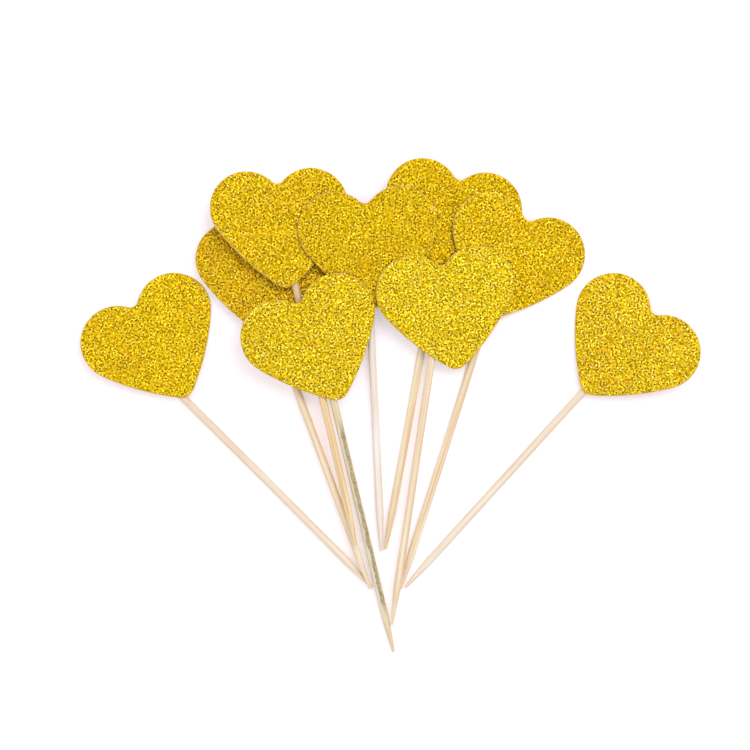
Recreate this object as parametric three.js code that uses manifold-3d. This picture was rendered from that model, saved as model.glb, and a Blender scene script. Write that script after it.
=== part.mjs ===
// Nine cupcake toppers: glitter card hearts glued on wooden picks, lying in a fan on a table.
// Millimetres, +Z up. The origin is on the table, under the middle of the fan.
import * as THREE from 'three';
import { ConvexHull } from 'three/addons/math/ConvexHull.js';
import { mergeVertices } from 'three/addons/utils/BufferGeometryUtils.js';
import Module from 'manifold-3d';

// Heart outline: two round lobes, slightly bowed flanks, a rounded tip and a rounded cleft
const HEART_WIDTH = 45;
const LOBE_RADIUS = 12;
const LOBE_RISE = 26.4;
const FLANK_RADIUS = 80;
const TIP_RADIUS = 4;
const CLEFT_RADIUS = 2.4;
const CURVE_TOLERANCE = 0.03;

// Card and its glitter face, which stops just short of the cut edge
const CARD_THICKNESS = 0.4;
const GLITTER_THICKNESS = 0.2;
const GLITTER_INSET = 0.3;
const LAMINATE_GAP = 0.05;

// Wooden pick: a round rod with a chamfered end, tapered to a blunt point
const STICK_DIAMETER = 2.5;
const STICK_LENGTH = 102;
const STICK_CHAMFER = 0.2;
const TAPER_LENGTH = 12;
const POINT_DIAMETER = 1;
const STICK_SIDES = 16;

// Glue bead on the card's back, pressed out on both sides of the pick and round its glued end
const GLUE_LENGTH = 11;
const GLUE_SPREAD = 2.25;
const GLUE_HEIGHT = 1.8;
const GLUE_OVERHANG = 2;
const GLUE_GAP = 0.1;

// How the toppers lie: the gap left between them, the pitch of the points that feel for what lies
// below, and how many times each one is let down onto its supports
const RESTING_GAP = 0.3;
const FEELER_PITCH = 1;
const SETTLING_ROUNDS = 4;

// Density of each material in grams per cubic centimetre
const CARD_DENSITY = 0.8;
const GLITTER_DENSITY = 1.4;
const WOOD_DENSITY = 0.65;

// The toppers in the order in which they were laid down. point is where the pick's point lies on the
// plan of the table, measured from the spot where the picks run together. Seen from there the pick
// bears off to the right of +Y by bearing, and the heart's cleft by lean, in degrees. The pick crosses
// the line through the heart's tip at across, and its glued end is tucked in past that line.
const LAID = [
  { point: [-4.1, 0.2], bearing: -44.9, lean: -31, across: -1.6, tuck: 15.4 },
  { point: [6.4, 0.5], bearing: 42.3, lean: 41, across: -0.5, tuck: 16.3 },
  { point: [-5, 0.2], bearing: -20.3, lean: -4.2, across: 1.9, tuck: 15.6 },
  { point: [0.1, 12.7], bearing: 10.2, lean: 12.2, across: -1, tuck: 13.9 },
  { point: [-9.8, 14.4], bearing: -12.8, lean: -4.4, across: 3.2, tuck: 16.8 },
  { point: [4.9, -0.2], bearing: 17.6, lean: 22.5, across: -0.3, tuck: 9.5 },
  { point: [-1.3, 12.2], bearing: -2.7, lean: -5.3, across: -1.7, tuck: 23.5 },
  { point: [3.1, -20.6], bearing: -13.6, lean: -24.2, across: -2.5, tuck: 18.6 },
  { point: [2.3, -11.6], bearing: 8.4, lean: -9, across: -9.1, tuck: 19.8 },
];

const MATERIALS = {
  card: new THREE.MeshStandardMaterial({ color: 0xd9c3a0, roughness: 0.9, metalness: 0 }),
  glitter: new THREE.MeshStandardMaterial({ color: 0xd8b420, roughness: 0.35, metalness: 0.6 }),
  wood: new THREE.MeshStandardMaterial({ color: 0xf0d9b8, roughness: 0.7, metalness: 0 }),
  glue: new THREE.MeshStandardMaterial({ color: 0xe9e4d2, roughness: 0.3, metalness: 0 }),
};

const wasm = await Module();
wasm.setup();

// Points along an arc, ends included, close enough together to keep its chords within the tolerance
function arc(x, y, radius, from, to) {
  const points = [];
  const stride = 2 * Math.acos(1 - CURVE_TOLERANCE / radius);
  const steps = Math.ceil(Math.abs(to - from) / stride);
  for (let i = 0; i <= steps; i += 1) {
    const angle = from + ((to - from) * i) / steps;
    points.push(new THREE.Vector2(x + radius * Math.cos(angle), y + radius * Math.sin(angle)));
  }
  return points;
}

// Where two circles meet, on the left of the line from the first centre to the second
function circlesMeet(a, radiusA, b, radiusB) {
  const apart = a.distanceTo(b);
  const along = (radiusA ** 2 - radiusB ** 2 + apart ** 2) / (2 * apart);
  const aside = Math.sqrt(radiusA ** 2 - along ** 2);
  const way = b.clone().sub(a).divideScalar(apart);
  return new THREE.Vector2(a.x + along * way.x - aside * way.y, a.y + along * way.y + aside * way.x);
}

const direction = (from, to) => Math.atan2(to.y - from.y, to.x - from.x);

// The heart's outline, counterclockwise, moved in by inset. The tip is at the origin and the cleft is
// above it. Every arc meets the next one in a tangent, so the inset changes the radii and no centre.
function heartOutline(inset) {
  const lobe = new THREE.Vector2(HEART_WIDTH / 2 - LOBE_RADIUS, LOBE_RISE);
  const tip = new THREE.Vector2(0, TIP_RADIUS);
  const cleftRise = Math.sqrt((LOBE_RADIUS + CLEFT_RADIUS) ** 2 - lobe.x ** 2);
  const cleft = new THREE.Vector2(0, LOBE_RISE + cleftRise);
  const flank = circlesMeet(tip, FLANK_RADIUS - TIP_RADIUS, lobe, FLANK_RADIUS - LOBE_RADIUS);

  const tipEnd = direction(flank, tip);
  const flankEnd = direction(flank, lobe);
  const lobeEnd = direction(lobe, cleft);
  const cleftStart = direction(cleft, lobe);
  const right = [
    ...arc(tip.x, tip.y, TIP_RADIUS - inset, -Math.PI / 2, tipEnd),
    ...arc(flank.x, flank.y, FLANK_RADIUS - inset, tipEnd, flankEnd).slice(1),
    ...arc(lobe.x, lobe.y, LOBE_RADIUS - inset, flankEnd, lobeEnd).slice(1),
    ...arc(cleft.x, cleft.y, CLEFT_RADIUS + inset, cleftStart, -Math.PI / 2).slice(1),
  ];
  const left = right.slice(1, -1).reverse().map((point) => new THREE.Vector2(-point.x, point.y));
  return [...right, ...left];
}

// A flat plate of the given outline, its underside at height bottom
function plate(outline, bottom, thickness) {
  const shape = new THREE.Shape(outline);
  const geometry = new THREE.ExtrudeGeometry(shape, { depth: thickness, bevelEnabled: false });
  return geometry.translate(0, 0, bottom);
}

// Radius of the pick at a distance from its glued end
function stickRadius(along) {
  const toPoint = STICK_LENGTH - along;
  const share = Math.min(1, toPoint / TAPER_LENGTH);
  return THREE.MathUtils.lerp(POINT_DIAMETER, STICK_DIAMETER, share) / 2;
}

// A round rod from the glued end at the origin to its point down the -Y axis, grown by extra
function stickGeometry(extra) {
  const body = STICK_DIAMETER / 2;
  const profile = [
    [0, extra],
    [body - STICK_CHAMFER + extra, extra],
    [body + extra, extra - STICK_CHAMFER],
    [body + extra, TAPER_LENGTH - STICK_LENGTH],
    [POINT_DIAMETER / 2 + extra, -STICK_LENGTH - extra],
    [0, -STICK_LENGTH - extra],
  ];
  const points = profile.reverse().map(([radius, height]) => new THREE.Vector2(radius, height));
  return new THREE.LatheGeometry(points, STICK_SIDES);
}

// Turns a closed geometry into a solid that can be cut
function solid(geometry) {
  const bare = geometry.clone();
  bare.deleteAttribute('normal');
  bare.deleteAttribute('uv');
  const merged = mergeVertices(bare, 1e-4);
  return new wasm.Manifold(new wasm.Mesh({
    numProp: 3,
    vertProperties: new Float32Array(merged.attributes.position.array),
    triVerts: new Uint32Array(merged.index.array),
  }));
}

function geometryOf(manifold) {
  const mesh = manifold.getMesh();
  const geometry = new THREE.BufferGeometry();
  geometry.setAttribute('position', new THREE.BufferAttribute(new Float32Array(mesh.vertProperties), 3));
  geometry.setIndex(new THREE.BufferAttribute(new Uint32Array(mesh.triVerts), 1));
  return geometry;
}

// Height of the pick's axis below the card's back
const STICK_DROP = STICK_DIAMETER / 2 + LAMINATE_GAP;

// The glue bead is a low mound, half an ellipsoid that hangs from the card's back, in the pick's own
// frame: the pick's glued end is at the origin and the card's back is STICK_DROP above it
const MOUND_WIDTH = STICK_DIAMETER + 2 * GLUE_SPREAD;
const MOUND_MIDDLE = GLUE_OVERHANG - GLUE_LENGTH / 2;
const MOUND_BASE = STICK_DROP - LAMINATE_GAP;

function glueGeometry() {
  const mound = new THREE.SphereGeometry(1, 24, 16);
  mound.scale(MOUND_WIDTH / 2, GLUE_LENGTH / 2, GLUE_HEIGHT);
  mound.translate(0, MOUND_MIDDLE, MOUND_BASE);
  const above = new THREE.BoxGeometry(2 * MOUND_WIDTH, 2 * GLUE_LENGTH, 2 * GLUE_HEIGHT);
  above.translate(0, MOUND_MIDDLE, MOUND_BASE + GLUE_HEIGHT);
  const bead = solid(mound).subtract(solid(above)).subtract(solid(stickGeometry(GLUE_GAP)));
  return geometryOf(bead);
}

// Places a shape made in the pick's frame under the heart
function stickFrame(laid) {
  const turn = THREE.MathUtils.degToRad(laid.lean - laid.bearing);
  const x = laid.across - laid.tuck * Math.sin(turn);
  const y = laid.tuck * Math.cos(turn);
  return new THREE.Matrix4().makeRotationZ(turn).setPosition(x, y, -STICK_DROP);
}

const CARD_OUTLINE = heartOutline(0);
const GLITTER_OUTLINE = heartOutline(GLITTER_INSET);
const GLITTER_BOTTOM = CARD_THICKNESS + LAMINATE_GAP;
const GLITTER_TOP = GLITTER_BOTTOM + GLITTER_THICKNESS;
const HEART_HEIGHT = LOBE_RISE + LOBE_RADIUS;

// Whether a point of the heart's plane is on the card: an upward line from it leaves the outline once
function onCard(x, y) {
  if (Math.abs(x) > HEART_WIDTH / 2 || y < 0 || y > HEART_HEIGHT) {
    return false;
  }
  let inside = false;
  let last = CARD_OUTLINE[CARD_OUTLINE.length - 1];
  for (const next of CARD_OUTLINE) {
    if (last.x > x !== next.x > x && y < last.y + ((x - last.x) / (next.x - last.x)) * (next.y - last.y)) {
      inside = !inside;
    }
    last = next;
  }
  return inside;
}

// Points of the card's back, on a grid and along its cut edge
function cardSamples() {
  const samples = CARD_OUTLINE.map((point) => new THREE.Vector3(point.x, point.y, 0));
  for (let x = -HEART_WIDTH / 2; x <= HEART_WIDTH / 2; x += FEELER_PITCH) {
    for (let y = 0; y <= HEART_HEIGHT; y += FEELER_PITCH) {
      if (onCard(x, y)) {
        samples.push(new THREE.Vector3(x, y, 0));
      }
    }
  }
  return samples;
}

// Points of the pick's underside, in the heart's frame
function stickSamples(laid) {
  const samples = [];
  const frame = stickFrame(laid);
  for (let along = 0; along <= STICK_LENGTH; along += FEELER_PITCH) {
    const radius = stickRadius(along);
    for (const share of [-0.9, -0.6, -0.3, 0, 0.3, 0.6, 0.9]) {
      const low = -radius * Math.sqrt(1 - share ** 2);
      samples.push(new THREE.Vector3(share * radius, -along, low).applyMatrix4(frame));
    }
  }
  return samples;
}

// Points of the glue bead's underside, in the heart's frame
function glueSamples(laid) {
  const samples = [];
  const frame = stickFrame(laid);
  for (let x = -MOUND_WIDTH / 2; x <= MOUND_WIDTH / 2; x += FEELER_PITCH) {
    for (let y = -GLUE_LENGTH / 2; y <= GLUE_LENGTH / 2; y += FEELER_PITCH) {
      const left = 1 - (2 * x / MOUND_WIDTH) ** 2 - (2 * y / GLUE_LENGTH) ** 2;
      if (left > 0) {
        const low = MOUND_BASE - GLUE_HEIGHT * Math.sqrt(left);
        samples.push(new THREE.Vector3(x, MOUND_MIDDLE + y, low).applyMatrix4(frame));
      }
    }
  }
  return samples;
}

// Where the heart's tip lies on the plan: back along the pick from its point, then aside to the tip
function tipPlace(laid) {
  const [x, y] = laid.point;
  const bearing = THREE.MathUtils.degToRad(laid.bearing);
  const lean = THREE.MathUtils.degToRad(laid.lean);
  const reach = STICK_LENGTH - laid.tuck;
  return new THREE.Vector2(
    x + reach * Math.sin(bearing) - laid.across * Math.cos(lean),
    y + reach * Math.cos(bearing) + laid.across * Math.sin(lean),
  );
}

// The heart's frame for a card whose back lies in the plane z = height + slopeX x + slopeY y
function heartFrame(laid, plane) {
  const lean = THREE.MathUtils.degToRad(laid.lean);
  const front = new THREE.Vector3(-plane.slopeX, -plane.slopeY, 1).normalize();
  const up = new THREE.Vector3(Math.sin(lean), Math.cos(lean), 0).projectOnPlane(front).normalize();
  const right = new THREE.Vector3().crossVectors(up, front);
  const tip = tipPlace(laid);
  const height = plane.height + plane.slopeX * tip.x + plane.slopeY * tip.y;
  return new THREE.Matrix4().makeBasis(right, up, front).setPosition(tip.x, tip.y, height);
}

// Height of the card's upper face above the point x, y of the table, or 0 beside the card
function cardTop(placed, x, y) {
  const { front, face, inverse } = placed;
  const height = face.z - (front.x * (x - face.x) + front.y * (y - face.y)) / front.z;
  const spot = new THREE.Vector3(x, y, height).applyMatrix4(inverse);
  return onCard(spot.x, spot.y) ? height : 0;
}

// Height of the pick's upper side above the point x, y of the table, or 0 beside the pick
function stickTop(placed, x, y) {
  const { end, point } = placed;
  const runX = point.x - end.x;
  const runY = point.y - end.y;
  const share = ((x - end.x) * runX + (y - end.y) * runY) / (runX ** 2 + runY ** 2);
  const distance = Math.hypot(x - end.x - share * runX, y - end.y - share * runY);
  const radius = stickRadius(share * STICK_LENGTH);
  if (share < 0 || share > 1 || distance > radius) {
    return 0;
  }
  return THREE.MathUtils.lerp(end.z, point.z, share) + Math.sqrt(radius ** 2 - distance ** 2);
}

// The point that the topper's weight acts through, in the heart's frame
function weightPoint(laid) {
  const face = THREE.ShapeUtils.area(CARD_OUTLINE);
  const heart = face * (CARD_THICKNESS * CARD_DENSITY + GLITTER_THICKNESS * GLITTER_DENSITY);
  const pick = Math.PI * (STICK_DIAMETER / 2) ** 2 * STICK_LENGTH * WOOD_DENSITY;
  const middle = new THREE.Vector3();
  const samples = cardSamples();
  samples.forEach((sample) => middle.add(sample));
  middle.divideScalar(samples.length);
  const pickMiddle = new THREE.Vector3(0, -STICK_LENGTH / 2, 0).applyMatrix4(stickFrame(laid));
  return middle.lerp(pickMiddle, pick / (heart + pick));
}

// The lowest plane over all the points that supports a weight at centre: the facet of their upper
// hull above it, as a thing laid on a rough pile comes to rest on three of its high points
function supportingPlane(points, centre) {
  const hull = new ConvexHull().setFromPoints(points);
  let best = null;
  for (const face of hull.faces) {
    const { normal } = face;
    if (normal.z < 1e-6) {
      continue;
    }
    const slopeX = -normal.x / normal.z;
    const slopeY = -normal.y / normal.z;
    const height = face.midpoint.z - slopeX * face.midpoint.x - slopeY * face.midpoint.y;
    const atCentre = height + slopeX * centre.x + slopeY * centre.y;
    if (best === null || atCentre < best.atCentre) {
      best = { height, slopeX, slopeY, atCentre };
    }
  }
  return best;
}

// Lets one topper down on the table and on those laid before it, and returns its frame
function seat(laid, pile) {
  const samples = [...cardSamples(), ...stickSamples(laid), ...glueSamples(laid)];
  const weight = weightPoint(laid);
  const plane = { height: 0, slopeX: 0, slopeY: 0 };
  let frame = heartFrame(laid, plane);
  for (let round = 0; round < SETTLING_ROUNDS; round += 1) {
    const current = frame;
    const missing = samples.map((sample) => {
      const place = sample.clone().applyMatrix4(current);
      let ground = 0;
      for (const placed of pile) {
        const top = Math.max(cardTop(placed, place.x, place.y), stickTop(placed, place.x, place.y));
        ground = top > 0 ? Math.max(ground, top + RESTING_GAP) : ground;
      }
      return place.setZ(ground - place.z);
    });
    const change = supportingPlane(missing, weight.clone().applyMatrix4(current));
    plane.height += change.height;
    plane.slopeX += change.slopeX;
    plane.slopeY += change.slopeY;
    frame = heartFrame(laid, plane);
  }
  return frame;
}

function namedMesh(name, geometry, material) {
  const mesh = new THREE.Mesh(geometry, material);
  mesh.name = name;
  return mesh;
}

// One topper in the heart's frame: card, glitter face, pick and glue bead
function topper(name, laid) {
  const group = new THREE.Group();
  const card = plate(CARD_OUTLINE, 0, CARD_THICKNESS);
  const glitter = plate(GLITTER_OUTLINE, GLITTER_BOTTOM, GLITTER_THICKNESS);
  const frame = stickFrame(laid);
  group.add(namedMesh(`${name}_card`, card, MATERIALS.card));
  group.add(namedMesh(`${name}_glitter`, glitter, MATERIALS.glitter));
  group.add(namedMesh(`${name}_stick`, stickGeometry(0).applyMatrix4(frame), MATERIALS.wood));
  group.add(namedMesh(`${name}_glue`, glueGeometry().applyMatrix4(frame), MATERIALS.glue));
  return group;
}

const fan = new THREE.Group();
const pile = [];
LAID.forEach((laid, i) => {
  const frame = seat(laid, pile);
  const stick = stickFrame(laid).premultiply(frame);
  pile.push({
    inverse: frame.clone().invert(),
    front: new THREE.Vector3().setFromMatrixColumn(frame, 2),
    face: new THREE.Vector3(0, 0, GLITTER_TOP).applyMatrix4(frame),
    end: new THREE.Vector3(0, 0, 0).applyMatrix4(stick),
    point: new THREE.Vector3(0, -STICK_LENGTH, 0).applyMatrix4(stick),
  });
  const group = topper(`topper_${i + 1}`, laid);
  group.applyMatrix4(frame);
  fan.add(group);
});

// The fan's middle goes over the origin, and its lowest points on the table
const part = new THREE.Group();
part.add(fan);
part.updateMatrixWorld(true);
const box = new THREE.Box3().setFromObject(fan, true);
const middle = box.getCenter(new THREE.Vector3());
fan.position.set(-middle.x, -middle.y, -box.min.z);
part.updateMatrixWorld(true);

export default part;
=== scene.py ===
# Looks for a fan of nine cupcake toppers: glitter card hearts glued on bamboo picks.
import math
import random
from collections import namedtuple

import bpy
import numpy as np
from mathutils import Matrix, Vector, geometry, noise


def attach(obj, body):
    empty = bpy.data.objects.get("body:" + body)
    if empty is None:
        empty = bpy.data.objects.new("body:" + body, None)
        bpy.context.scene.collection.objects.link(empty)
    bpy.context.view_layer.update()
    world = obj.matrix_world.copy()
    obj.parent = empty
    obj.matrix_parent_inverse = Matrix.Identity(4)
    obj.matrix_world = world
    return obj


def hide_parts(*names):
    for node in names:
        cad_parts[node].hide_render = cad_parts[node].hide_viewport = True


MM = 0.001

# Toppers in the order in which they lie: tint of the gold film, body and streak colour of
# the pick, how far its middle bows out to the right, and whether it has a strip of cane skin.
# The film's tint is painted shade that evens out how brightly the lamps light each heart: it
# darkens the fifth, which tilts towards the key lamp, and the third, which lies in the fifth
# one's shadow. The strip of cane skin comes with painted shade on the pick's flank beside it
Look = namedtuple("Look", "film wood streak bow skin")
LOOKS = [
    Look((242, 231, 200), (250, 236, 216), (242, 218, 190), 0.3 * MM, False),
    Look((234, 224, 243), (253, 240, 224), (244, 222, 198), -0.1 * MM, False),
    Look((228, 208, 208), (254, 238, 212), (246, 218, 184), 0.15 * MM, False),
    Look((228, 214, 173), (253, 240, 212), (244, 216, 174), 0.2 * MM, False),
    Look((222, 209, 192), (251, 226, 184), (238, 198, 148), 0.3 * MM, False),
    Look((233, 219, 192), (253, 236, 208), (242, 210, 170), 0.1 * MM, False),
    Look((235, 222, 190), (255, 250, 245), (250, 235, 222), 0.05 * MM, False),
    Look((243, 238, 250), (243, 231, 200), (230, 212, 176), 0.0 * MM, True),
    Look((241, 239, 250), (254, 238, 214), (246, 214, 182), 0.05 * MM, False),
]

# Seeds: the topper's number is added to all but the first
WOOD_SEED = 11
CARD_SEED = 100
LAYER_SEED = 200
LOOSE_SEED = 300
PICK_SEED = 400
GLUE_SEED = 500
WEAR_SEED = 600

# Packed hearts: how much a face looks up that helps to find which way the top looks, and how
# nearly that way a face of the top looks itself
LOOKS_UP = 0.7
ON_TOP = 0.99
OUTLINE_STEP = 0.6 * MM

# Card: depth under its face, and how far the cut edge is drawn in there, both in mm.
# CARD_RIM is a bare rim of the front that is as tan as the cut edge
CARD_CUT = [
    (0.0, 0.05),
    (0.03, 0.015),
    (0.12, 0.0),
    (0.2, 0.0),
    (0.28, 0.0),
    (0.37, 0.01),
    (0.4, 0.04),
]
CARD_RIM = 0.5 * MM
CUT_UNEVENNESS = 0.025 * MM
CUT_REPEATS = 1800  # of the unevenness, per metre along the edge
CUT_CHANGE = 6  # of the unevenness, per mm of depth
PAPER_SLOT, CUT_SLOT = 0, 1

# Glitter layer: flakes set in a lattice and joined by binder, with loose ones on top.
# Heights are over the plain layer's face, and tilts are in degrees
LAYER_BOTTOM = -0.24 * MM
RIM_TOP = -0.07 * MM
RIM_MARGIN = 0.06 * MM
BINDER_LEVEL = -0.03 * MM
BINDER_TONE = 0.3
FLAKE_PITCH = 0.58 * MM
FLAKE_REACH = 0.56  # room that a flake needs round its centre, as a share of the pitch
FLAKE_SHARE = 0.88  # the largest flake, as a share of one that would fill the lattice
SMALLEST_FLAKE = 0.86  # as a share of the largest
FLAKE_JITTER = 0.05 * MM
FLAKE_TURN = 0.18  # in radians, either way
FLAKE_TILT = 8.0
FLAKE_LIFT = 0.02 * MM
TILT_LIMIT = 2.2  # times the usual tilt
TONE_SHARPNESS = 0.8  # how much a flake's tone keeps away from its neighbours' tones
LOOSE_FLAKES = 900
LOOSE_SIZE = 0.58 * MM
LOOSE_SIZES = (0.75, 1.1)  # the smallest and the largest, times the usual size
LOOSE_THICKNESS = 0.03 * MM
LOOSE_TILT = 12.0
LOOSE_REST = 0.35  # how high a tilted flake's middle lies, as a share of its raised corner
DARKEST_LOOSE = 0.1
FLAKE_SLOT, BINDER_SLOT, BRIM_SLOT = 0, 1, 2

# Settings of the flat triangulation: keep what is inside the outline, and join closer points
KEEP_INSIDE = 1
SAME_SPOT = 1e-9

# The glitter's rim wanders outwards over the card's bare rim, by shares of RIM_WANDER
RIM_WANDER = 0.25 * MM
WEAR_MIDDLE = 0.75
WEAR_SPREAD = 0.9
WEAR_REPEATS = 900  # per metre

# Pick: a round bamboo rod, tapered to a blunt point
PICK_SIDES = 32
PICK_RINGS = 90
PICK_RADIUS = 1.25 * MM
PICK_CHAMFER = 0.2 * MM
PICK_TAPER = 12 * MM
PICK_POINT_RADIUS = 0.5 * MM
PICK_ROUNDING = 0.15 * MM
ROUNDING_STEPS = 4
END_BAND = 0.05 * MM  # how near to an end a packed point counts as part of it
BOW_SKEW = 1.3  # over 1 moves the middle of the bow towards the point
PICK_FLATNESS = 0.018  # mean depth of the flats, as a share of the radius
FLATS_ROUND = 1.3  # how often flats change round the pick, and along it per metre
FLATS_ALONG = 60

# The strip of cane skin that one pick keeps, in the pick's own frame
SKIN_MIDDLE = 0.4 * MM
SKIN_HALF = 0.55 * MM
SKIN_START = 24 * MM
SKIN_STOP = 90 * MM
SKIN_FADE = 5 * MM
SKIN_WANDER = 1.3 * MM
# width of the painted shade on the pick's flank left of the strip
SHADED_FLANK = 0.5 * MM

# Glue bead: how its edges are rounded off and its face rippled
GLUE_VOXEL = 0.2 * MM
GLUE_SMOOTHING = 0.5
GLUE_PASSES = 4
GLUE_RIPPLE = 0.06 * MM
RIPPLE_MIDDLE = 0.3  # over 0, so that ripples mostly draw in
RIPPLE_REPEATS = 700  # per metre

# Studio: lamps by name, with their place, size and power
LAMPS = [
    ("key", (0.3, 0.4, 0.8), 0.6, 2.6),
    ("fill", (-0.6, 0.1, 0.7), 0.8, 0.6),
]
WORLD_LEVEL = 0.73
FLOOR_COLOUR = (0.92, 0.87, 0.91, 1.0)
FLOOR_GLOW_COLOUR = (1.0, 0.93, 0.96, 1.0)
FLOOR_GLOW = 0.32
FLOOR_REACH = 3.0
FLOOR_HEIGHT = -0.02 * MM

# Camera: straight above the fan, as in the photograph
CAMERA_SPOT = (-4.94 * MM, 9.93 * MM, 600 * MM)
VIEW_WIDTH = 243.6 * MM
SENSOR_WIDTH = 36.0
CLIP_START = 0.01
CLIP_END = 20.0

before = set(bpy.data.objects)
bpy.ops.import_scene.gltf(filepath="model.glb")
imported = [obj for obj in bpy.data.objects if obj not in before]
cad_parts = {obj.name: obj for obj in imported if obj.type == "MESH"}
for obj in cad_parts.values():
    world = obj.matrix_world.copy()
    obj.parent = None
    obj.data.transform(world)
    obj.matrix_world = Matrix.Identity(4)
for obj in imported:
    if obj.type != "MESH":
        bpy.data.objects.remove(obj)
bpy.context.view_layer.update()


# Colours and material nodes

def srgb(red, green, blue):
    """Linear colour of an 8-bit screen colour."""
    def linear(value):
        share = value / 255
        return share / 12.92 if share <= 0.04045 else ((share + 0.055) / 1.055) ** 2.4
    return (linear(red), linear(green), linear(blue), 1.0)


def grey(level):
    return (level, level, level, 1.0)


class Nodes:
    """The nodes of a material or a world, with short ways to add and join them."""

    def __init__(self, owner, output="ShaderNodeOutputMaterial"):
        owner.use_nodes = True
        self.owner = owner
        self.tree = owner.node_tree
        self.tree.nodes.clear()
        self.output = self.add(output)

    def join(self, socket, value):
        if isinstance(value, bpy.types.NodeSocket):
            self.tree.links.new(value, socket)
        else:
            socket.default_value = value

    def add(self, kind, settings=None, **inputs):
        made = self.tree.nodes.new(kind)
        for key, value in (settings or {}).items():
            setattr(made, key, value)
        for key, value in inputs.items():
            self.join(made.inputs[key.replace("_", " ")], value)
        return made

    def ramp(self, factor, stops):
        made = self.add("ShaderNodeValToRGB", Fac=factor)
        elements = made.color_ramp.elements
        while len(elements) < len(stops):
            elements.new(0.5)
        for element, (position, colour) in zip(elements, stops):
            element.position = position
            element.color = colour
        return made.outputs["Color"]

    def mix(self, factor, first, second, blend="MIX"):
        made = self.add("ShaderNodeMix", {"data_type": "RGBA", "blend_type": blend})
        values = (("Factor", "VALUE", factor), ("A", "RGBA", first), ("B", "RGBA", second))
        for key, kind, value in values:
            self.join([s for s in made.inputs if s.name == key and s.type == kind][0], value)
        return [s for s in made.outputs if s.name == "Result" and s.type == "RGBA"][0]

    def math(self, operation, first, second):
        made = self.add("ShaderNodeMath", {"operation": operation})
        self.join(made.inputs[0], first)
        self.join(made.inputs[1], second)
        return made.outputs[0]

    def span(self, value, low, high):
        """0 where value is low, 1 where it is high, and even in between."""
        return self.add("ShaderNodeMapRange", Value=value, From_Min=low, From_Max=high).outputs[0]

    def attribute(self, name):
        return self.add("ShaderNodeAttribute", {"attribute_name": name}).outputs["Fac"]

    def place(self):
        return self.add("ShaderNodeTexCoord").outputs["Object"]

    def noise(self, scale=1.0, stretch=(1, 1, 1), detail=2.0, roughness=0.5, offset=(0, 0, 0)):
        """Noise in object coordinates; scale times stretch is in repeats per metre."""
        mapping = self.add("ShaderNodeMapping", Vector=self.place(), Scale=stretch, Location=offset)
        made = self.add(
            "ShaderNodeTexNoise",
            Vector=mapping.outputs[0],
            Scale=scale,
            Detail=detail,
            Roughness=roughness,
        )
        return made.outputs["Fac"]

    def bump(self, height, distance, strength):
        made = self.add("ShaderNodeBump", Height=height, Distance=distance, Strength=strength)
        return made.outputs["Normal"]

    def seen(self):
        """1 for what the camera sees directly, mirrored or through something clear."""
        path = self.add("ShaderNodeLightPath").outputs
        direct = self.math("MAXIMUM", path["Is Camera Ray"], path["Is Glossy Ray"])
        return self.math("MAXIMUM", direct, path["Is Transmission Ray"])

    def surface(self, shader):
        self.join(self.output.inputs["Surface"], shader.outputs[0])

    def plain_surface(self, **inputs):
        self.surface(self.add("ShaderNodeBsdfPrincipled", **inputs))


def new_material(name):
    return Nodes(bpy.data.materials.new(name))


# Gold film: each flake has its own tone, with olive ones, orange patches and a few pale ones,
# and the heart's tint multiplied over all of it is painted shade
def flake_material(name, shade_tint):
    m = new_material(name)
    gold = m.ramp(m.attribute("flake_tone"), [
        (0.0, srgb(126, 101, 0)),
        (0.14, srgb(159, 131, 0)),
        (0.35, srgb(206, 180, 11)),
        (0.6, srgb(242, 220, 34)),
        (0.85, srgb(255, 240, 76)),
        (0.97, srgb(255, 241, 108)),
        (0.992, srgb(255, 241, 122)),
        (1.0, srgb(255, 244, 165)),
    ])
    hue_share = 0.5
    patch_contrast = 2.6
    own = m.math("MULTIPLY", m.attribute("flake_hue"), hue_share)
    patches = m.noise(scale=420.0, detail=1.0)
    shared = m.math("MULTIPLY", m.math("SUBTRACT", patches, 0.5), patch_contrast)
    orange = m.ramp(m.math("ADD", own, shared), [(0.62, grey(0.0)), (0.85, grey(0.75))])
    colour = m.mix(orange, gold, srgb(242, 192, 24))
    drift = m.noise(scale=110.0, detail=3.0)
    shade = m.ramp(drift, [(0.3, srgb(248, 240, 240)), (0.7, grey(1.0))])
    colour = m.mix(1.0, colour, shade, "MULTIPLY")
    grain = m.noise(scale=9000.0, detail=2.0)
    m.plain_surface(
        # painted shade: the heart's tint darkens its whole film to even out the lamps' light
        Base_Color=m.mix(1.0, colour, shade_tint, "MULTIPLY"),
        Metallic=1.0,
        Roughness=m.ramp(grain, [(0.3, grey(0.36)), (0.7, grey(0.5))]),
        Normal=m.bump(grain, distance=0.01 * MM, strength=0.4),
    )
    return m.owner


# The glitter's brim, where binder soaks into the paper and a few gold grains stick
def brim_material(name):
    m = new_material(name)
    grains = m.noise(scale=3000.0, detail=3.0)
    m.plain_surface(
        Base_Color=m.ramp(grains, [
            (0.36, srgb(194, 156, 34)),
            (0.5, srgb(242, 204, 66)),
            (0.62, srgb(255, 238, 140)),
        ]),
        Metallic=0.3,
        Roughness=0.5,
        Normal=m.bump(grains, distance=0.05 * MM, strength=0.6),
    )
    return m.owner


# Binder between the flakes, filled with dark gold dust
def binder_material(name):
    m = new_material(name)
    patches = m.noise(scale=2600.0, detail=3.0)
    m.plain_surface(
        Base_Color=m.ramp(patches, [
            (0.3, srgb(128, 100, 0)),
            (0.5, srgb(180, 143, 4)),
            (0.7, srgb(214, 177, 16)),
        ]),
        Metallic=1.0,
        Roughness=0.4,
        Normal=m.bump(patches, distance=0.05 * MM, strength=0.6),
    )
    return m.owner


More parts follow.
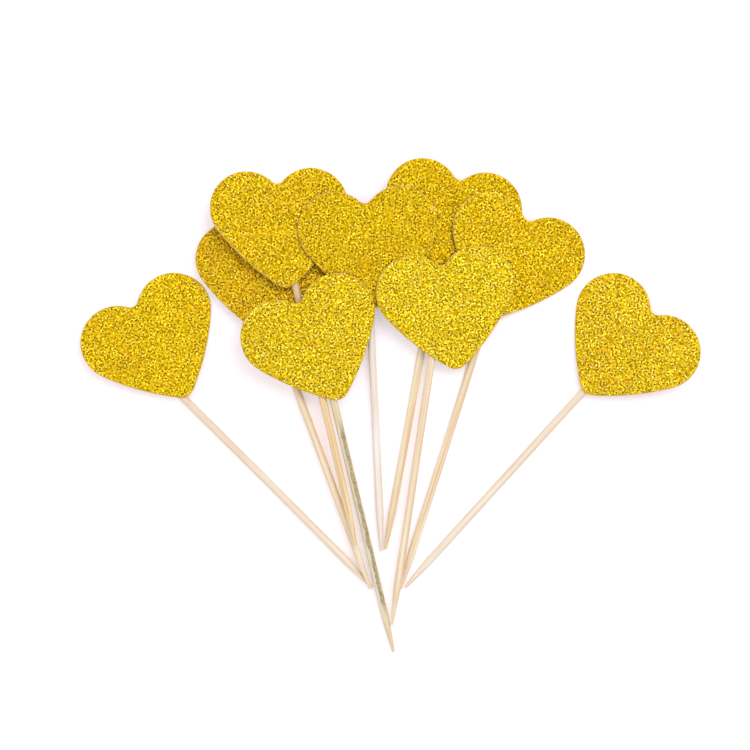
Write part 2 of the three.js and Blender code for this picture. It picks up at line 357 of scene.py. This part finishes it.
# Card: pale backing paper with short fibres and a cloudy tone
def card_material(name):
    m = new_material(name)
    fibre = m.noise(scale=1500.0, stretch=(1, 0.25, 1), detail=6.0, roughness=0.65)
    paper = m.ramp(fibre, [
        (0.3, srgb(222, 196, 158)),
        (0.55, srgb(233, 211, 178)),
        (0.8, srgb(242, 226, 200)),
    ])
    cloud = m.noise(scale=120.0, detail=3.0)
    shade = m.ramp(cloud, [(0.3, srgb(244, 240, 236)), (0.7, grey(1.0))])
    m.plain_surface(
        Base_Color=m.mix(1.0, paper, shade, "MULTIPLY"),
        Roughness=0.85,
        Normal=m.bump(fibre, distance=0.06 * MM, strength=0.7),
    )
    return m.owner


# The card's cut edge: tan, mottled by the cut fibres, with browner stretches
def cut_edge_material(name):
    m = new_material(name)
    fibre = m.noise(scale=3200.0, detail=5.0, roughness=0.7)
    colour = m.ramp(fibre, [
        (0.3, srgb(214, 172, 104)),
        (0.5, srgb(242, 206, 142)),
        (0.72, srgb(255, 234, 182)),
    ])
    stretches = m.noise(scale=420.0, detail=2.0)
    shade = m.ramp(stretches, [(0.35, srgb(240, 222, 208)), (0.65, srgb(255, 252, 248))])
    m.plain_surface(
        Base_Color=m.mix(1.0, colour, shade, "MULTIPLY"),
        Roughness=0.8,
        Normal=m.bump(fibre, distance=0.05 * MM, strength=0.8),
    )
    return m.owner


# Hot glue: milky, slightly yellow and glossy
def glue_material(name):
    m = new_material(name)
    cloud = m.noise(scale=500.0, detail=4.0)
    ripple = m.noise(scale=1300.0, detail=1.0)
    m.plain_surface(
        Base_Color=m.ramp(cloud, [(0.3, srgb(226, 214, 182)), (0.7, srgb(240, 234, 214))]),
        Roughness=0.22,
        Subsurface_Weight=0.4,
        Subsurface_Scale=1.5 * MM,
        Normal=m.bump(ripple, distance=0.15 * MM, strength=0.5),
    )
    return m.owner


# Bamboo: pale wood with long fibres along the pick
def bamboo_material(name, wood, streak, skin):
    m = new_material(name)
    offset = (random.random(), random.random(), random.random())
    strands = m.noise(stretch=(5200, 5200, 55), detail=5.0, roughness=0.6, offset=offset)
    bundles = m.noise(stretch=(1500, 1500, 22), detail=2.0, offset=offset)
    patches = m.noise(stretch=(260, 260, 45), detail=2.0, offset=offset)
    pale_gain = 1.12
    pale = tuple(min(1.0, pale_gain * value) for value in wood[:3]) + (1.0,)
    colour = m.ramp(bundles, [(0.32, streak), (0.5, wood), (0.68, pale)])
    fibre = m.ramp(strands, [
        (0.33, srgb(216, 190, 164)),
        (0.45, srgb(250, 246, 240)),
        (0.7, grey(1.0)),
    ])
    colour = m.mix(0.55, colour, fibre, "MULTIPLY")
    drift = m.ramp(patches, [(0.3, srgb(246, 234, 222)), (0.65, grey(1.0))])
    colour = m.mix(0.8, colour, drift, "MULTIPLY")
    if skin:
        colour = cane_skin(m, colour)
    height = m.mix(0.5, strands, bundles)
    m.plain_surface(
        Base_Color=colour,
        Roughness=0.6,
        Specular_IOR_Level=0.35,
        Normal=m.bump(height, distance=0.05 * MM, strength=0.8),
    )
    return m.owner


# A strip of cane skin: narrow, green-brown with darker specks, beside a flank with painted shade
def cane_skin(m, colour):
    place = m.add("ShaderNodeSeparateXYZ", Vector=m.place()).outputs
    edge = m.noise(stretch=(500, 500, 260), detail=3.0)
    wander = m.math("MULTIPLY", m.math("SUBTRACT", edge, 0.5), SKIN_WANDER)
    offset = m.math("SUBTRACT", m.math("ADD", place["X"], wander), SKIN_MIDDLE)
    off_middle = m.math("ABSOLUTE", offset, 0.0)
    on_top = m.span(place["Y"], -0.1 * MM, 0.2 * MM)
    started = m.span(place["Z"], SKIN_START, SKIN_START + SKIN_FADE)
    stopped = m.span(place["Z"], SKIN_STOP, SKIN_STOP - SKIN_FADE)
    along = m.math("MULTIPLY", m.math("MULTIPLY", started, stopped), on_top)
    across = m.span(off_middle, SKIN_HALF + 0.15 * MM, SKIN_HALF - 0.1 * MM)
    strip = m.math("MULTIPLY", across, along)
    # painted shade: left of the strip the pick's flank is mixed towards a duller, greyer colour
    shaded_flank = m.math("MULTIPLY", m.span(offset, 0.0, -SHADED_FLANK), along)
    specks = m.noise(stretch=(2400, 2400, 1000), detail=4.0, roughness=0.7)
    skin = m.ramp(specks, [
        (0.30, srgb(106, 92, 58)),
        (0.42, srgb(160, 146, 104)),
        (0.56, srgb(196, 180, 138)),
        (0.75, srgb(214, 200, 160)),
    ])
    flank_shade = m.mix(0.8, colour, srgb(236, 227, 213))
    return m.mix(strip, m.mix(shaded_flank, colour, flank_shade), skin)


# White table that glows a little, so that it looks evenly bright
def floor_material(name):
    m = new_material(name)
    glow = m.math("MULTIPLY", m.seen(), FLOOR_GLOW)
    both = m.add("ShaderNodeAddShader")
    diffuse = m.add("ShaderNodeBsdfDiffuse", Color=FLOOR_COLOUR)
    m.join(both.inputs[0], diffuse.outputs[0])
    light = m.add("ShaderNodeEmission", Color=FLOOR_GLOW_COLOUR, Strength=glow)
    m.join(both.inputs[1], light.outputs[0])
    m.surface(both)
    return m.owner


# Geometry helpers

def new_object(name, vertices, faces, materials, face_material=None, smooth=False):
    mesh = bpy.data.meshes.new(name)
    mesh.from_pydata([tuple(v) for v in vertices], [], faces)
    for material in materials:
        mesh.materials.append(material)
    if face_material is not None:
        mesh.polygons.foreach_set("material_index", face_material)
    mesh.polygons.foreach_set("use_smooth", [smooth] * len(mesh.polygons))
    mesh.update()
    made = bpy.data.objects.new(name, mesh)
    bpy.context.scene.collection.objects.link(made)
    return made


def face_attribute(obj, name, values):
    made = obj.data.attributes.new(name, "FLOAT", "FACE")
    made.data.foreach_set("value", values)


def moved_in(outline, distance):
    """The outline, counterclockwise, with each corner moved inwards along its bisector."""
    made = []
    for i, (x, y) in enumerate(outline):
        before = outline[i - 1]
        after = outline[(i + 1) % len(outline)]
        way = Vector((after[0] - before[0], after[1] - before[1])).normalized()
        made.append((x - way.y * distance, y + way.x * distance))
    return made


def inside(point, outline):
    x, y = point
    found = False
    x0, y0 = outline[-1]
    for x1, y1 in outline:
        if (x0 > x) != (x1 > x) and y < y0 + (x - x0) / (x1 - x0) * (y1 - y0):
            found = not found
        x0, y0 = x1, y1
    return found


def reach(outline):
    """How far an outline goes to the right, down and up."""
    wide = max(x for x, y in outline)
    low = min(y for x, y in outline)
    high = max(y for x, y in outline)
    return wide, low, high


def hexagon(centre, size, turn):
    ring = [turn + k * math.pi / 3 for k in range(6)]
    return [(centre[0] + size * math.cos(a), centre[1] + size * math.sin(a)) for a in ring]


# Hearts as packed

def heart_face(node):
    """The outline of a plate's top face in order, counterclockwise, and the way it looks."""
    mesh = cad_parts[node].data
    up = Vector((0, 0, 0))
    for polygon in mesh.polygons:
        if polygon.normal.z > LOOKS_UP:
            up += polygon.normal * polygon.area
    up.normalize()
    places = {}
    directed = set()
    for polygon in mesh.polygons:
        if polygon.normal.dot(up) > ON_TOP:
            keys = []
            for corner in polygon.vertices:
                place = mesh.vertices[corner].co
                keys.append(tuple(round(v, 7) for v in place))
                places[keys[-1]] = place.copy()
            directed.update(zip(keys, keys[1:] + keys[:1]))
    ahead = {a: b for a, b in directed if (b, a) not in directed}
    ring = [min(ahead)]
    while len(ring) < len(ahead):
        ring.append(ahead[ring[-1]])
    return [places[key] for key in ring], up


def area_frame(outline, up):
    """Frame at the outline's centre of area: X across the heart, Y to its cleft, Z up."""
    across = Vector((1, 0, 0))
    across = (across - up * across.dot(up)).normalized()
    along = up.cross(across)
    start = outline[0]
    flat = [((p - start).dot(across), (p - start).dot(along)) for p in outline]
    area = cx = cy = 0.0
    for (x0, y0), (x1, y1) in zip(flat, flat[1:] + flat[:1]):
        cross = x0 * y1 - x1 * y0
        area += cross / 2
        cx += (x0 + x1) * cross / 6
        cy += (y0 + y1) * cross / 6
    cx, cy = cx / area, cy / area
    xx = yy = xy = 0.0
    for (x0, y0), (x1, y1) in zip(flat, flat[1:] + flat[:1]):
        x0, y0, x1, y1 = x0 - cx, y0 - cy, x1 - cx, y1 - cy
        cross = x0 * y1 - x1 * y0
        xx += (x0 * x0 + x0 * x1 + x1 * x1) * cross / 12
        yy += (y0 * y0 + y0 * y1 + y1 * y1) * cross / 12
        xy += (x0 * y1 + 2 * x0 * y0 + 2 * x1 * y1 + x1 * y0) * cross / 24
    angle = 0.5 * math.atan2(2 * xy, xx - yy)
    right = across * math.cos(angle) + along * math.sin(angle)
    ahead = up.cross(right)
    centre = start + across * cx + along * cy
    reaches = [(p - centre).dot(ahead) for p in outline]
    if max(reaches) > -min(reaches):
        right, ahead = -right, -ahead
    made = Matrix((right, ahead, up)).transposed().to_4x4()
    made.translation = centre
    return made


def smooth_ring(ring, spacing):
    """Points about spacing apart on a smooth closed curve through the points of ring."""
    count = len(ring)
    chords = [math.dist(ring[i], ring[(i + 1) % count]) for i in range(count)]
    ways = []
    for i in range(count):
        before, after = chords[i - 1], chords[i]
        x0, y0 = ring[i - 1]
        x1, y1 = ring[i]
        x2, y2 = ring[(i + 1) % count]
        total = before + after
        ways.append((
            ((x1 - x0) / before * after + (x2 - x1) / after * before) / total,
            ((y1 - y0) / before * after + (y2 - y1) / after * before) / total,
        ))
    made = []
    for i in range(count):
        j = (i + 1) % count
        steps = max(1, round(chords[i] / spacing))
        for k in range(steps):
            t = k / steps
            weights = (2 * t**3 - 3 * t**2 + 1, t**3 - 2 * t**2 + t, 3 * t**2 - 2 * t**3, t**3 - t**2)
            made.append(tuple(
                weights[0] * ring[i][a] + weights[1] * chords[i] * ways[i][a]
                + weights[2] * ring[j][a] + weights[3] * chords[i] * ways[j][a]
                for a in (0, 1)
            ))
    return made


def heart(node):
    """The frame of a plate's top face, and its outline in that frame, counterclockwise."""
    outline, up = heart_face(node)
    place = area_frame(outline, up)
    back = place.inverted()
    flat = [(back @ p)[:2] for p in outline]
    return place, smooth_ring(flat, OUTLINE_STEP)


# Card

def cut_edge(outline, shift):
    """Rings of points down the cut edge, with the fine unevenness of a cut through fibres."""
    made = []
    for depth, drawn_in in CARD_CUT:
        ring = moved_in(outline, drawn_in * MM)
        for (x, y), (x1, y1) in zip(ring, moved_in(ring, -1.0 * MM)):
            spot = Vector((x * CUT_REPEATS, y * CUT_REPEATS, shift + depth * CUT_CHANGE))
            out = CUT_UNEVENNESS * noise.noise(spot)
            way = Vector((x1 - x, y1 - y)).normalized()
            made.append((x + way.x * out, y + way.y * out, -depth * MM))
    return made


def card(name, outline, seed):
    """The cut card: two flat faces, a bare rim round the front one, and the cut edge."""
    count = len(outline)
    vertices = cut_edge(outline, random.Random(seed).uniform(0, 100))
    front = len(vertices)
    last = front - count
    vertices.extend((x, y, 0.0) for x, y in moved_in(outline, CARD_RIM))
    faces = []
    for first in range(0, last, count):
        for k in range(count):
            a = first + k
            b = first + (k + 1) % count
            faces.append([a, a + count, b + count, b])
    for k in range(count):
        after = (k + 1) % count
        faces.append([front + k, k, after, front + after])
    slots = [CUT_SLOT] * len(faces) + [PAPER_SLOT] * 2
    faces.append([front + k for k in range(count)])
    faces.append([last + k for k in range(count)][::-1])
    made = new_object(name, vertices, faces, [PAPER, CUT_EDGE], slots, smooth=True)
    for polygon in made.data.polygons:
        if polygon.material_index == PAPER_SLOT:
            polygon.use_smooth = False
    return made


# Glitter

def lattice(outline, rng):
    """Flat flakes side by side inside the outline: centre and corners of each, and their tones."""
    room = moved_in(outline, RIM_MARGIN + FLAKE_REACH * FLAKE_PITCH)
    wide, low, high = reach(outline)
    row = FLAKE_PITCH * math.sqrt(3) / 2
    radius = FLAKE_SHARE * FLAKE_PITCH / math.sqrt(3)
    flakes = []
    tones = {}
    for j in range(int(low / row) - 1, int(high / row) + 2):
        for i in range(-int(wide / FLAKE_PITCH) - 2, int(wide / FLAKE_PITCH) + 3):
            x = (i + 0.5 * (j % 2)) * FLAKE_PITCH
            y = j * row
            if inside((x, y), room):
                x += rng.uniform(-1, 1) * FLAKE_JITTER
                y += rng.uniform(-1, 1) * FLAKE_JITTER
                turn = math.pi / 6 + rng.uniform(-FLAKE_TURN, FLAKE_TURN)
                size = radius * rng.uniform(SMALLEST_FLAKE, 1.0)
                flakes.append(((x, y), hexagon((x, y), size, turn)))
                tones[i, j] = rng.random()
    return flakes, even_tones(tones)


def even_tones(tones):
    """Tones of a lattice, made darker the brighter their neighbours are, and spread evenly."""
    sharp = {}
    for (i, j), value in tones.items():
        side = i + j % 2
        around = [(i - 1, j), (i + 1, j)]
        around += [(column, row) for row in (j - 1, j + 1) for column in (side - 1, side)]
        near = [tones[place] for place in around if place in tones]
        sharp[i, j] = value - TONE_SHARPNESS * sum(near) / max(1, len(near))
    order = sorted(sharp, key=sharp.get)
    rank = {place: k / len(order) for k, place in enumerate(order)}
    return [rank[place] for place in tones]


def tilt(rng, spread):
    """Slopes of a flake's plane along X and Y."""
    limit = TILT_LIMIT * spread
    angles = [max(-limit, min(limit, rng.gauss(0, spread))) for _ in range(2)]
    return [math.tan(math.radians(a)) for a in angles]


def worn_outline(outline, seed):
    """The glitter's outline moved out by an uneven share of the card's bare rim."""
    shift = random.Random(seed).uniform(0, 100)
    made = []
    for (x, y), (x1, y1) in zip(outline, moved_in(outline, -1.0)):
        spot = Vector((x * WEAR_REPEATS, y * WEAR_REPEATS, shift))
        share = WEAR_MIDDLE + WEAR_SPREAD * noise.noise(spot)
        step = RIM_WANDER * max(0.0, min(1.0, share))
        made.append((x + (x1 - x) * step, y + (y1 - y) * step))
    return made


def corner_heights(flakes, rng):
    """Heights of all flakes' corners, one flake after the other."""
    made = []
    for centre, corners in flakes:
        slope_x, slope_y = tilt(rng, FLAKE_TILT)
        lift = rng.uniform(-1, 1) * FLAKE_LIFT
        made.extend(lift + slope_x * (x - centre[0]) + slope_y * (y - centre[1]) for x, y in corners)
    return made


def mosaic(flakes, outline):
    """Flakes, binder between them and a narrow band along the outline, as one flat mesh.

    Gives its points and faces, the number of the given point that each point is, and the
    number of the flake that each face is, or None. The flakes' corners are numbered first,
    then the outline's points and then those of the band's inner side.
    """
    corners = [corner for centre, ring in flakes for corner in ring]
    rings = [list(range(first, first + 6)) for first in range(0, len(corners), 6)]
    count = len(outline)
    lines = []
    for first in (len(corners), len(corners) + count):
        lines.extend((first + k, first + (k + 1) % count) for k in range(count))
    points = [Vector(p) for p in corners + outline + moved_in(outline, RIM_MARGIN / 2)]
    made = geometry.delaunay_2d_cdt(points, lines, rings, KEEP_INSIDE, SAME_SPOT)
    flat, _, faces, point_sources, _, face_sources = made
    point_numbers = [source[0] if source else None for source in point_sources]
    flake_numbers = [source[0] if source else None for source in face_sources]
    return flat, list(faces), point_numbers, flake_numbers


def flake_layer(name, outline, seed, flake):
    """A closed layer whose top is a mosaic of tilted flat flakes joined by binder."""
    rng = random.Random(seed)
    flakes, tones = lattice(outline, rng)
    count = len(outline)
    levels = corner_heights(flakes, rng)
    rim_numbers = range(len(levels), len(levels) + count)
    levels += [RIM_TOP] * count + [BINDER_LEVEL] * count
    hues = [rng.random() for _ in flakes]
    flat, faces, point_numbers, flake_numbers = mosaic(flakes, outline)
    vertices = []
    for place, number in zip(flat, point_numbers):
        height = BINDER_LEVEL if number is None else levels[number]
        vertices.append((place.x, place.y, height))

    found = {number: k for k, number in enumerate(point_numbers)}
    rim = [found[number] for number in rim_numbers if number in found]
    at_rim = set(rim)
    brim_look = (BRIM_SLOT, BINDER_TONE, 0.0)
    looks = []
    for face, number in zip(faces, flake_numbers):
        if at_rim.intersection(face):
            looks.append(brim_look)
        elif number is None:
            looks.append((BINDER_SLOT, BINDER_TONE, 0.0))
        else:
            looks.append((FLAKE_SLOT, tones[number], hues[number]))

    low = len(vertices)
    vertices.extend((flat[k].x, flat[k].y, LAYER_BOTTOM) for k in rim)
    for k in range(len(rim)):
        after = (k + 1) % len(rim)
        faces.append([rim[k], low + k, low + after, rim[after]])
    faces.append(list(range(low, low + len(rim)))[::-1])
    looks += [brim_look] * (len(rim) + 1)
    slots, tone, hue = zip(*looks)
    made = new_object(name, vertices, faces, [flake, BINDER, BRIM], slots)
    face_attribute(made, "flake_tone", tone)
    face_attribute(made, "flake_hue", hue)
    return made


def loose_spots(outline, rng):
    """Where loose flakes lie: one at each point of the rim, and the rest at random."""
    room = moved_in(outline, RIM_MARGIN + LOOSE_SIZE / 2)
    wide, low, high = reach(outline)
    made = list(room)
    while len(made) < len(room) + LOOSE_FLAKES:
        spot = (rng.uniform(-wide, wide), rng.uniform(low, high))
        if inside(spot, room):
            made.append(spot)
    return made


def loose_flakes(name, outline, seed, flake):
    """Thin hexagonal flakes that lie on the layer, each a closed plate."""
    rng = random.Random(seed)
    vertices = []
    faces = []
    tone = []
    hue = []
    for x, y in loose_spots(outline, rng):
        size = LOOSE_SIZE / 2 * rng.uniform(*LOOSE_SIZES)
        turn = rng.uniform(0, math.pi)
        slope_x, slope_y = tilt(rng, LOOSE_TILT)
        rise = size * math.hypot(slope_x, slope_y)
        base = LOOSE_REST * rise
        first = len(vertices)
        for drop in (0, LOOSE_THICKNESS):
            for dx, dy in hexagon((0, 0), size, turn):
                vertices.append((x + dx, y + dy, base - drop + slope_x * dx + slope_y * dy))
        faces.append([first + k for k in range(6)])
        faces.append([first + 6 + k for k in range(6)][::-1])
        for k in range(6):
            after = (k + 1) % 6
            faces.append([first + k, first + 6 + k, first + 6 + after, first + after])
        tone.extend([DARKEST_LOOSE + (1 - DARKEST_LOOSE) * rng.random()] * 8)
        hue.extend([rng.random()] * 8)
    made = new_object(name, vertices, faces, [flake])
    face_attribute(made, "flake_tone", tone)
    face_attribute(made, "flake_hue", hue)
    return made


# Picks

def pick_frame(node):
    """Frame at the pick's glued end, with Z along it to its point, and its length."""
    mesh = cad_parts[node].data
    places = np.empty(len(mesh.vertices) * 3)
    mesh.vertices.foreach_get("co", places)
    places = places.reshape(-1, 3)
    spread = places - places.mean(axis=0)
    axis = np.linalg.svd(spread, full_matrices=False)[2][0]
    if axis[1] > 0:
        axis = -axis
    share = spread @ axis
    ends = []
    for end in (share.min(), share.max()):
        near = places[np.abs(share - end) < END_BAND]
        ends.append((near.min(axis=0) + near.max(axis=0)) / 2)
    start, point = Vector(ends[0]), Vector(ends[1])
    along = (point - start).normalized()
    across = Vector((0, 0, 1)).cross(along).normalized()
    made = Matrix((across, along.cross(across), along)).transposed().to_4x4()
    made.translation = start
    return made, (point - start).length


def pick_radius(along, length):
    body = PICK_RADIUS
    to_point = length - along
    if to_point < PICK_TAPER:
        body = PICK_POINT_RADIUS + (PICK_RADIUS - PICK_POINT_RADIUS) * to_point / PICK_TAPER
    if along < PICK_CHAMFER:
        body -= PICK_CHAMFER - along
    if to_point < PICK_ROUNDING:
        drop = 1 - to_point / PICK_ROUNDING
        body -= PICK_ROUNDING * (1 - math.sqrt(max(0.0, 1 - drop * drop)))
    return body


def pick(name, node, material, seed, bend):
    """A bowed rod with the slight flats that splitting leaves, chamfered at one end and tapered."""
    place, length = pick_frame(node)
    shift = random.Random(seed).uniform(0, 50)
    stations = [0, PICK_CHAMFER / 2, PICK_CHAMFER]
    stations += [length * k / PICK_RINGS for k in range(1, PICK_RINGS)]
    stations += [length - PICK_ROUNDING * (1 - k / ROUNDING_STEPS) for k in range(ROUNDING_STEPS + 1)]
    vertices = []
    for along in stations:
        bow = bend * math.sin(math.pi * (along / length) ** BOW_SKEW)
        for k in range(PICK_SIDES):
            angle = 2 * math.pi * k / PICK_SIDES
            right, up = math.cos(angle), math.sin(angle)
            spot = Vector((right * FLATS_ROUND, up * FLATS_ROUND, shift + FLATS_ALONG * along))
            radius = pick_radius(along, length) * (1 - PICK_FLATNESS * (1 + noise.noise(spot)))
            vertices.append((bow + radius * right, radius * up, along))
    last = len(vertices) - PICK_SIDES
    faces = [list(range(PICK_SIDES))[::-1]]
    for first in range(0, last, PICK_SIDES):
        for k in range(PICK_SIDES):
            a = first + k
            b = first + (k + 1) % PICK_SIDES
            faces.append([a, b, b + PICK_SIDES, a + PICK_SIDES])
    faces.append(list(range(last, last + PICK_SIDES)))
    made = new_object(name, vertices, faces, [material], smooth=True)
    for end in (0, len(faces) - 1):
        made.data.polygons[end].use_smooth = False
    made.matrix_world = place
    return made


# Glue

def glue(name, node, material, seed):
    """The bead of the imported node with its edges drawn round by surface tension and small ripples."""
    raw = bpy.data.objects.new(name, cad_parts[node].data.copy())
    bpy.context.scene.collection.objects.link(raw)
    raw.data.materials.clear()
    remesh = raw.modifiers.new("fine", "REMESH")
    remesh.mode = "VOXEL"
    remesh.voxel_size = GLUE_VOXEL
    soft = raw.modifiers.new("round", "SMOOTH")
    soft.factor = GLUE_SMOOTHING
    soft.iterations = GLUE_PASSES
    bpy.context.view_layer.update()
    evaluated = raw.evaluated_get(bpy.context.evaluated_depsgraph_get())
    mesh = bpy.data.meshes.new_from_object(evaluated)
    raw.modifiers.clear()
    raw.data = mesh
    shift = Vector((random.Random(seed).uniform(0, 100), 0, 0))
    for vertex in mesh.vertices:
        ripple = noise.noise(vertex.co * RIPPLE_REPEATS + shift)
        vertex.co += vertex.normal * (GLUE_RIPPLE * (ripple - RIPPLE_MIDDLE))
    mesh.polygons.foreach_set("use_smooth", [True] * len(mesh.polygons))
    mesh.materials.append(material)
    mesh.update()
    return raw


# The toppers

def dress_card(n, body):
    node = f"{body}_card"
    place, outline = heart(node)
    made = card(f"{body}_heart_card", outline, CARD_SEED + n)
    made.data.transform(place)
    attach(made, body)
    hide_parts(node)


def dress_glitter(n, body, look):
    node = f"{body}_glitter"
    place, outline = heart(node)
    outline = worn_outline(outline, WEAR_SEED + n)
    flake = flake_material(f"gold_flakes_{n}", srgb(*look.film))
    layer = flake_layer(f"{body}_glitter_layer", outline, LAYER_SEED + n, flake)
    layer.data.transform(place)
    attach(layer, body)
    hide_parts(node)
    loose = loose_flakes(f"{body}_loose_flakes", outline, LOOSE_SEED + n, flake)
    loose.data.transform(place)
    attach(loose, body)


def dress_stick(n, body, look):
    node = f"{body}_stick"
    wood = bamboo_material(f"bamboo_{n}", srgb(*look.wood), srgb(*look.streak), look.skin)
    made = pick(f"{body}_bamboo_pick", node, wood, PICK_SEED + n, look.bow)
    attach(made, body)
    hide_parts(node)


def dress_glue(n, body):
    node = f"{body}_glue"
    made = glue(f"{body}_glue_bead", node, GLUE, GLUE_SEED + n)
    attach(made, body)
    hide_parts(node)


random.seed(WOOD_SEED)
BINDER = binder_material("glitter_binder")
BRIM = brim_material("glitter_brim")
PAPER = card_material("card_paper")
CUT_EDGE = cut_edge_material("card_cut_edge")
GLUE = glue_material("hot_glue")

for n, look in enumerate(LOOKS, 1):
    body = f"topper_{n}"
    dress_card(n, body)
    dress_glitter(n, body, look)
    dress_stick(n, body, look)
    dress_glue(n, body)


# Studio

def area_light(name, spot, size, power):
    """A round lamp that looks at the fan."""
    data = bpy.data.lights.new(name, "AREA")
    data.shape = "DISK"
    data.size = size
    data.energy = power
    lamp = bpy.data.objects.new(name, data)
    lamp.location = spot
    lamp.rotation_euler = (-Vector(spot)).to_track_quat("-Z", "Y").to_euler()
    bpy.context.scene.collection.objects.link(lamp)


def studio_world():
    """A white surround that looks white but lights the fan a little less."""
    world = bpy.data.worlds.new("studio")
    bpy.context.scene.world = world
    w = Nodes(world, "ShaderNodeOutputWorld")
    level = w.add("ShaderNodeMapRange", Value=w.seen(), To_Min=WORLD_LEVEL, To_Max=1.0)
    w.surface(w.add("ShaderNodeBackground", Color=grey(1.0), Strength=level.outputs[0]))


def studio_floor():
    ends = (-FLOOR_REACH, FLOOR_REACH)
    corners = [(x, y, FLOOR_HEIGHT) for y in ends for x in ends]
    floor = new_object("floor", corners, [[0, 1, 3, 2]], [floor_material("white_floor")])


def studio_camera():
    data = bpy.data.cameras.new("camera")
    data.sensor_width = SENSOR_WIDTH
    data.lens = SENSOR_WIDTH * CAMERA_SPOT[2] / VIEW_WIDTH
    data.clip_start = CLIP_START
    data.clip_end = CLIP_END
    camera = bpy.data.objects.new("camera", data)
    camera.location = CAMERA_SPOT
    bpy.context.scene.collection.objects.link(camera)
    bpy.context.scene.camera = camera


for lamp in LAMPS:
    area_light(*lamp)
studio_world()
studio_floor()
studio_camera()
bpy.context.scene.view_settings.view_transform = "Standard"
